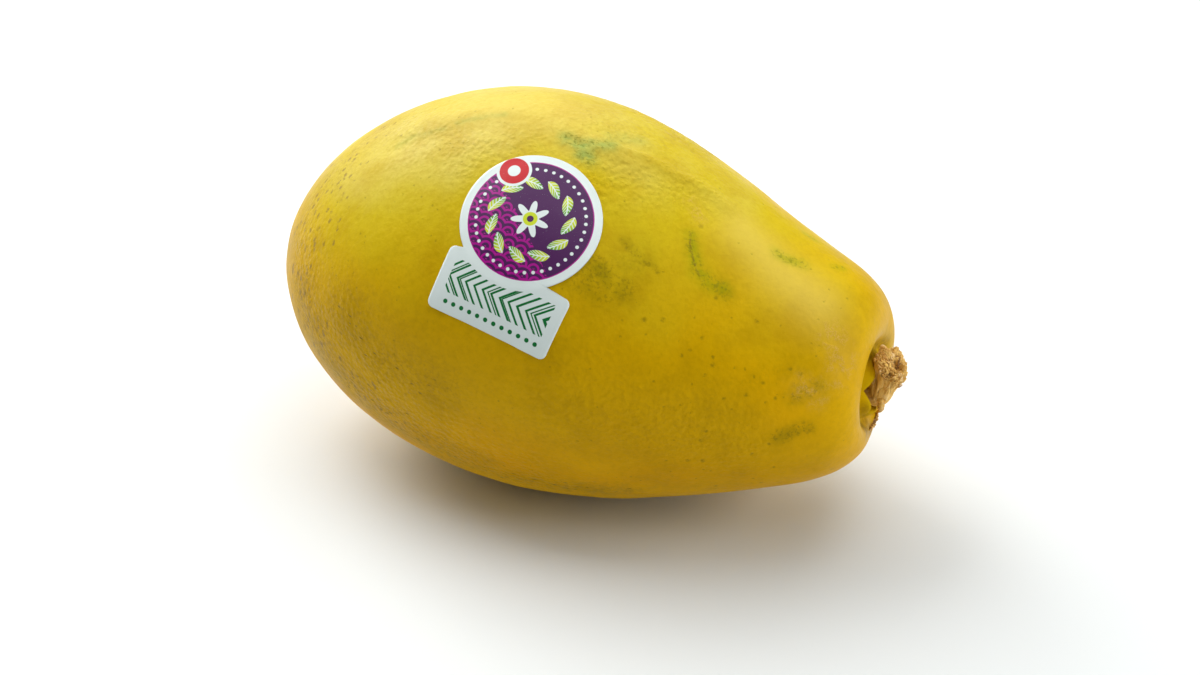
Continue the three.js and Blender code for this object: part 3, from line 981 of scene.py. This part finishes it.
def stem_form():
    """Points of the stub about its mouth, with how torn, how deep for painted shade and highlight, and how
    lies the wood there.
    """
    stem = smooth_stem()
    folds, crumbs, clumps = wood_relief(stem.grain)
    bead, slit = bead_and_slit(stem.points)

    above_bark = stem.points[..., 2] - (BARK_EDGE - BARK_SLANT * np.cos(stem.turn))
    torn = np.clip((above_bark + BARK_RAGGED * clumps) / BARK_FADE + 0.5, 0, 1)
    on_end = np.where(stem.share < 1, 1.0, 0.0)
    torn = np.maximum(torn * torn * (3 - 2 * torn), on_end)

    bark_relief = np.minimum(1, 1.6 * stem.t) * FOLD_DEPTH * (folds - 0.5)
    torn_relief = TORN_LIP + CRUMB_DEPTH * (crumbs - 0.5) + CLUMP_DEPTH * clumps
    radial = (bark_relief * (1 - torn) + torn_relief * torn) * np.minimum(1, stem.share * 1.5)
    radial = radial + bead - SLIT_DEPTH * slit
    endwise = on_end * (CRUMB_DEPTH_ON_END * (crumbs - 0.5) + CLUMP_DEPTH * clumps)
    points = stem.points + stem.outward * radial[..., None] + stem.forward * endwise[..., None]
    # depth for painted light: high in creases and the slit (painted shade), low on crumbs, clumps and the
    # bead (painted highlight)
    painted_light_and_tone = np.clip(0.50 - torn * 0.9 * (crumbs - 0.3) - (1 - torn) * 0.5 * (folds - 0.3)
                     - 0.2 * clumps - 0.9 * bead + slit, 0, 1)
    return points, torn, painted_light_and_tone, stem.grain


def closed_rings(rings):
    """Points of a closed surface over these rings, with a first and a last point."""
    flat = rings.reshape(-1, *rings.shape[2:])
    return np.concatenate([[rings[0].mean(0)], flat, [rings[-1].mean(0)]])


def tube(path, radii, sides):
    """Closed tube along a path of points."""
    ahead = unit(np.gradient(path, axis=0))
    side = unit(np.cross(ahead, (0.3, 1, 0.2)))
    third = np.cross(ahead, side)
    turn = 2 * math.pi * np.arange(sides)[None, :, None] / sides
    round_it = side[:, None] * np.cos(turn) + third[:, None] * np.sin(turn)
    return closed_rings(path[:, None] + np.asarray(radii)[:, None, None] * round_it)


def resampled(path, count):
    """This many points evenly along a path of a few points, rounded at its corners."""
    path = np.array(path)
    place = np.linspace(0, len(path) - 1, count)
    points = np.stack([np.interp(place, np.arange(len(path)), column) for column in path.T], -1)
    for _ in range(3):
        points[1:-1] = (points[:-2] + 2 * points[1:-1] + points[2:]) / 4
    return points


def shreds(form, skin):
    """Dried shred on the hollow's far rim and its strand: (points about the mouth, faces, darkness)."""
    right, up, _ = (np.array(axis) for axis in camera_axes())
    rim = resampled([point - MOUTH for point in seen_path(SHRED_ON_RIM, skin)], SHRED_RINGS)
    foot = seen_at(SHRED_FOOT, skin) - MOUTH
    top = seen_at(SHRED_TOP, stem_surface(form)) - MOUTH
    sag = (foot + top) / 2 + 0.5 * right - 0.3 * up
    strand = resampled([foot, sag, top - 0.3 * up], SHRED_RINGS)
    swell = np.sin(math.pi * np.linspace(0.06, 0.94, SHRED_RINGS)) ** 0.6
    tapered = np.sin(math.pi * np.linspace(0.1, 0.9, SHRED_RINGS)) ** 0.3
    tapered = np.linspace(0.35, 1.9, SHRED_RINGS) * tapered
    rim_shred = (rim + 0.1 * right, 0.6 * swell, 0.85, 0.65)
    stub_strand = (strand, 0.5 * tapered, 0.6, 0.3)
    for path, radii, depth, shade in (rim_shred, stub_strand):
        points = tube(path, radii, SHRED_SIDES)
        out = points[1:-1] - np.repeat(path, SHRED_SIDES, axis=0)
        bumps = crumbs_of(points[1:-1] + 20, 1.9, 3) - 0.5
        points[1:-1] += out * (depth * bumps)[:, None]
        # painted shade: darker in the shred's dents
        darkness = np.concatenate([[shade], np.clip(shade - 0.5 * bumps, 0, 1), [shade]])
        yield points, ring_faces(SHRED_RINGS, SHRED_SIDES), darkness


def slivers(form):
    """Slivers of wood on the torn part: (points about the mouth, faces, darkness) of each."""
    random = np.random.default_rng(STEM_SEED)
    for _ in range(SLIVERS):
        ring = random.integers(int(STEM_RINGS * 0.72), STEM_RINGS + 12)
        side = random.integers(STEM_SIDES)
        length = random.integers(10, 26)
        rows = np.clip(np.arange(ring, ring + length, 2), 0, len(form) - 1)
        drift = side + (np.arange(len(rows)) * random.uniform(-0.9, 0.9)).astype(int)
        path = form[rows, drift % STEM_SIDES]
        share = np.linspace(0, 1, len(rows))
        lift = random.uniform(0.05, 0.3) * share[:, None] ** 2
        path = path + unit(path - form[rows].mean(1)) * (0.02 + lift)
        radii = random.uniform(0.10, 0.17) * np.sin(math.pi * (0.12 + 0.8 * share)) ** 0.7
        points = tube(path, radii, SLIVER_SIDES)
        darkness = np.full(len(points), random.uniform(0.1, 0.5))
        yield points, ring_faces(len(path), SLIVER_SIDES), darkness


def make_stem(skin):
    form, torn, painted_light_and_tone, grain = stem_form()
    parts = [(closed_rings(form), ring_faces(len(form), STEM_SIDES))]
    looks = [np.column_stack([closed_rings(torn), closed_rings(painted_light_and_tone), closed_rings(grain)])]
    for points, faces, darkness in (*shreds(form, skin), *slivers(form)):
        parts.append((points, faces))
        looks.append(np.column_stack([np.ones(len(points)), darkness, points]))

    points = np.vstack([part_points for part_points, _ in parts])
    faces, start = [], 0
    for part_points, part_faces in parts:
        faces += [tuple(corner + start for corner in face) for face in part_faces]
        start += len(part_points)
    stem = make_piece("papaya_stem", points + MOUTH, faces, stem_material(), "stem")
    looks = np.vstack(looks)
    store(stem, "torn", looks[:, 0])
    store(stem, "painted_light_and_tone", looks[:, 1])
    store(stem, "wood", np.ascontiguousarray(looks[:, 2:]))


def stem_material():
    """Brown bark, and flaky torn wood, with painted highlights on its bumps and painted shade in its
    creases.
    """
    wood = Material("dried_stem_bark")
    grain, painted_light_and_tone = wood.stored("wood", "Vector"), wood.stored("painted_light_and_tone")
    fibres = wood.noise(wood.stretched(grain, 0.15, 1, 1), 0.4, 4, 0.6)
    flaky = wood.noise(wood.stretched(grain, 0.5, 1, 1), 0.8, 3, 0.7)
    clouds = wood.noise(grain, 1.8, 3, 0.6)
    wood.colour = wood.mix(wood.step(fibres, 0.3, 0.62), BARK_DARK, BARK)
    wood.paint(wood.step(clouds, 0.45, 0.7) * 0.5, BARK_PALE_AND_HIGHLIGHT)
    wood.paint(wood.stored("torn"), wood.mix(wood.step(flaky, 0.36, 0.6), FLAKE, FIBRE))
    # painted highlight: pale tops of bumps, crumbs and the bead
    wood.paint(wood.step(painted_light_and_tone, 0.3, 0.05) * wood.step(clouds, 0.48, 0.62, 0, 0.85), BARK_PALE_AND_HIGHLIGHT)
    # painted shade: dark creases and the slit
    wood.paint(wood.step((fibres - 0.5) * -0.4 + painted_light_and_tone, 0.50, 0.85) * 0.8, PAINTED_CREASE_SHADE)
    return wood.finish(wood.step(fibres, 0.3, 0.7, 0.75, 0.55), fibres * 0.14)


# ==== Label

def walk_on_skin(headings, distances):
    """Places on the skin reached by walking straight ahead from the label's centre."""
    u = np.full_like(headings, LABEL_CENTRE[0])
    angle = np.full_like(headings, LABEL_CENTRE[1])
    along, _, normal = skin_frame(u, angle)
    forward = unit(along)
    left = np.cross(normal, forward)
    direction = forward * np.cos(headings)[:, None] + left * np.sin(headings)[:, None]
    step = distances / WALK_STEPS
    for _ in range(WALK_STEPS):
        along, around, normal = skin_frame(u, angle)
        direction = unit(direction - normal * dots(direction, normal)[:, None])
        mixed = dots(along, around)
        area = dots(along, along) * dots(around, around) - mixed**2
        ahead, aside = dots(along, direction), dots(around, direction)
        u = u + (dots(around, around) * ahead - mixed * aside) / area * step
        angle = angle + (dots(along, along) * aside - mixed * ahead) / area * step
    return u, angle


def label_rows():
    """Rows of the label's outline from top to bottom: height and left and right edges."""
    turn = math.acos((TAB["top"] + NOTCH) / DISC_RADIUS) * np.arange(1, DISC_ROWS + 1) / DISC_ROWS
    half = DISC_RADIUS * np.sin(turn)
    rows = [np.stack([DISC_RADIUS * np.cos(turn), -half, half], -1)]

    corner = TAB["corner"]
    quarter = math.pi / 2 * np.arange(CORNER_ROWS + 1) / CORNER_ROWS
    inset = corner * (1 - np.sin(quarter))
    inward = corner * (1 - np.cos(quarter))
    left, right = TAB["left"] + inset, TAB["right"] - inset
    middle = np.linspace(TAB["top"] - corner, TAB["bottom"] + corner, TAB_ROWS + 1)[1:-1]
    plain = np.ones_like(middle)
    rows.append(np.stack([TAB["top"] - inward, left, right], -1))
    rows.append(np.stack([middle, TAB["left"] * plain, TAB["right"] * plain], -1))
    rows.append(np.stack([TAB["bottom"] + inward, left, right], -1)[::-1])
    return np.vstack(rows)


def label_curl(across, height):
    """How far the paper has let go of the skin, at the corners of its tab and round its disc."""
    curl = np.zeros_like(across)
    for corner_across in (TAB["left"], TAB["right"]):
        away = np.hypot(across - corner_across, height - TAB["bottom"])
        curl += LABEL_CURL["corner"] * hill(away, LABEL_CURL["corner_reach"])
    from_rim = DISC_RADIUS - np.hypot(across, height)
    return curl + LABEL_CURL["rim"] * hill(from_rim, LABEL_CURL["rim_reach"])


def eased(grid, passes=6):
    """Grid of values with its small bumps smoothed away and nothing left below them."""
    raised = grid.copy()
    for _ in range(passes):
        wide = np.pad(raised, 1, mode="edge")
        around = (wide[:-2, 1:-1] + wide[2:, 1:-1] + wide[1:-1, :-2] + wide[1:-1, 2:]) / 4
        raised = np.maximum(0.5 * (raised + around), grid)
    return raised


def height_of(skin, point, out):
    """How far the finished skin stands out from a point of its smooth form."""
    return PROBE - skin.ray_cast(Vector(point + PROBE * out), Vector(-out))[3]


def make_label(skin):
    """Thin paper sheet over the skin. The skin is the search tree of the finished fruit."""
    height, left, right = (column[:, None] for column in label_rows().T)
    share = np.arange(LABEL_COLUMNS + 1)[None, :] / LABEL_COLUMNS
    across = right + (left - right) * share
    height = np.broadcast_to(height, across.shape)
    headings = np.arctan2(height, across).ravel() + LABEL_TURN
    u, angle = walk_on_skin(headings, np.hypot(across, height).ravel())
    smooth, normal = skin_point(u, angle), skin_frame(u, angle)[2]
    lift = np.array([height_of(skin, point, out) for point, out in zip(smooth, normal)])
    lift = eased(lift.reshape(across.shape)).ravel()
    lift += LABEL_LIFT + label_curl(across, height).ravel()
    shape = (*across.shape, 3)
    below = (smooth + normal * lift[:, None]).reshape(shape)
    above = (smooth + normal * (lift + LABEL_THICKNESS)[:, None]).reshape(shape)
    rings = np.concatenate([above, below[:, ::-1]], axis=1)
    faces = ring_faces(len(rings), 2 * (LABEL_COLUMNS + 1))
    label = make_piece("papaya_label", closed_rings(rings), faces, label_material(), "label")
    printed = np.stack([across, height, np.zeros_like(across)], -1)
    underside = (printed - (0, 0, 1))[:, ::-1]
    store(label, "print", closed_rings(np.concatenate([printed, underside], axis=1)))


INK_EDGE = 0.05  # half the width over which the ink fades out, in millimetres
INK_WOBBLE = (0.08, 0.08, 0)  # width over which its edges wander


class Print(Material):
    """The label's print, with sizes in millimetres about the middle of its disc."""

    def __init__(self):
        super().__init__("label_paper", Specular_IOR_Level=0.3)
        place = self.stored("print", "Vector")
        place = self.wobbly(place, self.noise(place, 0.25, 2, 0.5, "Color"), INK_WOBBLE)
        self.x = self.axis(place, "X")
        self.y = self.axis(place, "Y")
        self.flat = self.stretched(place, 1, 1, 0)
        self.radius = self.vector("LENGTH", self.flat, output="Value")
        self.turn = self.math("ARCTAN2", self.y, self.x)

    def inside(self, value, edge):
        """Ink where the value is below this edge."""
        return self.step(value, edge + INK_EDGE, edge - INK_EDGE)

    def pingpong(self, value, size):
        return self.math("PINGPONG", value, size)

    def length(self, x, y):
        return self.math("SQRT", x * x + y * y)

    def round_sector(self, count):
        """Turn from the middle of the nearest of this many equal sectors."""
        sector = 2 * math.pi / count
        return self.math("FLOORED_MODULO", self.turn, sector) - sector / 2

    def scallops(self, rows=2.6, half_width=1.6, arcs=0.62, line=0.27):
        """Purple with scallops of magenta to one side."""
        row = self.math("FLOOR", self.y * (1 / rows))
        shift = self.math("MODULO", row, 2.0) * half_width
        away = self.length(self.pingpong(self.x + shift, half_width), self.y - row * rows)
        side = self.step(self.x * -0.6 + self.y * -0.8, 2.0, 2.2)
        return self.mix(self.inside(self.pingpong(away, arcs), line) * side, PURPLE, MAGENTA)

    def wreath(self, leaves=11, circle=9.2, slant=-0.42, half_length=2.5, half_width=1.35):
        """Leaves in a circle, lime at one end, with a pale vein and barbs."""
        arc = self.round_sector(leaves) * self.radius
        off_vein = abs(arc * slant + (self.radius - circle))
        swell = arc * arc * (-half_width / half_length**2) + half_width
        blade = self.mix(self.step(arc, -2.2, 1.2), LEAF, LIME)
        barbs = self.inside(self.pingpong(arc + off_vein, 0.42), 0.13)
        blade = self.mix(barbs * 0.8, blade, PAPER)
        blade = self.mix(self.inside(off_vein, 0.14), blade, PAPER)
        self.paint(self.inside(off_vein - swell, 0.0), blade)

    def flower(self, petals=7.0, size=3.3, swing=-1.3, eye=1.7, pupil=0.8):
        wave = self.math("COSINE", self.turn * petals)
        self.paint(self.inside(wave * swing + self.radius, size), PAPER)
        self.paint(self.inside(self.radius, eye), LIME)
        self.paint(self.inside(self.radius, pupil), PURPLE)

    def beads(self, count=40, circle=12.9, size=0.42):
        away = self.length(self.round_sector(count) * circle, self.radius - circle)
        self.paint(self.inside(away, size), PAPER)

    def disc(self, ink=14.6, line=14.85):
        """The disc's motifs on their ground, within a magenta line."""
        self.colour = self.scallops()
        self.wreath()
        self.flower()
        self.beads()
        ground = self.mix(self.inside(self.radius, line), PAPER, MAGENTA)
        self.colour = self.mix(self.inside(self.radius, ink), ground, self.colour)

    def red_dot(self, centre=(-9.6, 9.2, 0)):
        """Red dot with a pale eye and a pale ring, over the disc's edge."""
        away = self.vector("DISTANCE", self.flat, centre, output="Value")
        for radius, colour in ((4.2, PAPER), (3.5, RED), (1.5, PAPER)):
            self.paint(self.inside(away, radius), colour)

    def tab(self, fold=19.6, top=-15.4, bottom=23.6, middle=1.8, reach=13.2, spacing=2.2, row=25.7):
        """Chevrons clear of the disc, and a row of dots below them."""
        slant = abs(self.y + fold) * -1.0 + self.x
        wide = self.inside(self.pingpong(slant, 1.15), 0.36)
        narrow = self.inside(self.pingpong(slant + 0.9, 1.9), 0.22)
        across = self.inside(abs(self.x - middle), reach)
        field = self.inside(self.y, top) * self.inside(self.y * -1.0, bottom) * across
        off_disc = self.math("SUBTRACT", 1.0, self.inside(self.radius, 17.3))
        bars = self.math("MAXIMUM", wide, narrow) * (field * off_disc)
        along = self.math("FLOORED_MODULO", self.x, spacing) - spacing / 2
        dot_row = self.inside(self.length(along, self.y + row), 0.55)
        self.paint(self.math("MAXIMUM", bars, dot_row * across), BOTTLE)


def label_material():
    """White paper with a plain design of our own: a leaf wreath, scallops, dots and chevrons."""
    label = Print()
    label.disc()
    label.red_dot()
    label.tab()
    flecks = label.step(label.noise(label.flat, 0.22, 2, 0.6), 0.70, 0.76, 0, 0.6)
    label.paint(flecks, PAPER)
    height = label.noise(label.flat, 0.4, 3) * 0.015 + label.noise(label.flat, 5.0) * 0.1
    return label.finish(label.step(label.noise(label.flat, 2.0, 3), 0.3, 0.7, 0.34, 0.44), height)


# ==== Surroundings

def make_floor():
    paper = Material("floor_paper", Base_Color=FLOOR_COLOUR, Roughness=FLOOR_ROUGHNESS)
    mesh = bpy.data.meshes.new("floor")
    corners = [(x * FLOOR_REACH, y * FLOOR_REACH, 0) for x, y in ((-1, -1), (1, -1), (1, 1), (-1, 1))]
    mesh.from_pydata(corners, [], [(0, 1, 2, 3)])
    mesh.materials.append(paper.made)
    floor = new_object("floor", mesh)


def make_softbox(name, right, away, height, size, power):
    """Square area light that far to the right of and away behind the fruit, as the camera sees it."""
    light = bpy.data.lights.new(name, "AREA")
    light.size = size
    light.energy = power
    softbox = new_object(name, light)
    across, _, back = camera_axes()
    place = Vector((*(right * across.xy - away * back.xy.normalized()), height))
    softbox.location = place
    softbox.rotation_euler = (Vector(LIT_POINT) - place).to_track_quat("-Z", "Y").to_euler()


def make_light():
    for softbox in SOFTBOXES:
        make_softbox(*softbox)
    world = bpy.data.worlds.new("studio")
    world.use_nodes = True
    background = world.node_tree.nodes["Background"]
    background.inputs["Color"].default_value = WORLD_COLOUR
    background.inputs["Strength"].default_value = WORLD_STRENGTH
    bpy.context.scene.world = world
    bpy.context.scene.view_settings.view_transform = "Standard"


finished_skin = make_fruit()
make_stem(finished_skin)
make_label(finished_skin)
make_floor()
make_light()
make_camera()
